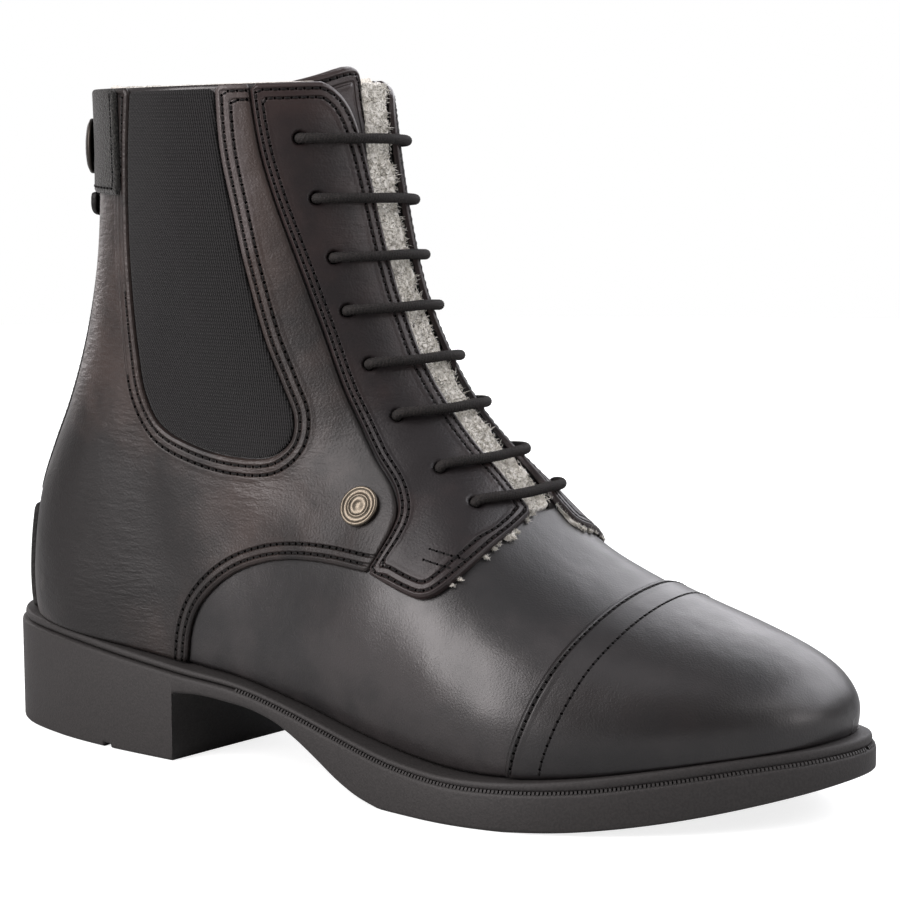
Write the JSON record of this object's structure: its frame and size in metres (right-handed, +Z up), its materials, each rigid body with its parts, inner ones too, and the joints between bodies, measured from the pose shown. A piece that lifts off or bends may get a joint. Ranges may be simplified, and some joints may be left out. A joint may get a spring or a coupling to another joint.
{
  "type": "paddock boot",
  "caption": "Right ankle-high paddock boot: dark leather, capped toe, elastic side gores, elastic lace bars, fleece lining, back zip under a snap tab, low heel.",
  "frame": {"origin": "middle of the bounding box in plan, on the ground", "axes": "+X to the toe, +Y to the inner (medial) side of the right foot, +Z up"},
  "size_m": [0.286, 0.1074, 0.2038],
  "materials": {
    "leather": "fine grain, satin, very dark brown",
    "smooth_leather": "smooth, polished, very dark brown",
    "elastic": "ribbed elastic, black",
    "fleece": "short fleece, light grey beige",
    "lace_cord": "round elastic cord, dark",
    "zip_tape": "black zip and guard",
    "sole_rubber": "matt dark grey brown",
    "old_metal": "aged, soft shine"
  },
  "bodies": {
    "root": {"outsole": "sole_rubber", "welt": "sole_rubber", "insole": "fleece", "upper": "smooth_leather", "toe_cap": "smooth_leather", "quarter_lateral": "leather", "quarter_medial": "leather", "facing_lateral": "leather", "facing_medial": "leather", "heel_patch": "leather", "back_tab": "leather", "zip_pull": "leather", "gore_lateral": "elastic", "gore_medial": "elastic", "tongue": "fleece", "zip": "zip_tape", "badge": "old_metal", "snap_button": "old_metal", "lace_bar_1": "lace_cord", "lace_bar_2": "lace_cord", "lace_bar_3": "lace_cord", "lace_bar_4": "lace_cord", "lace_bar_5": "lace_cord", "lace_bar_6": "lace_cord", "lace_bar_7": "lace_cord", "lace_bar_8": "lace_cord"}
  },
  "joints": []
}
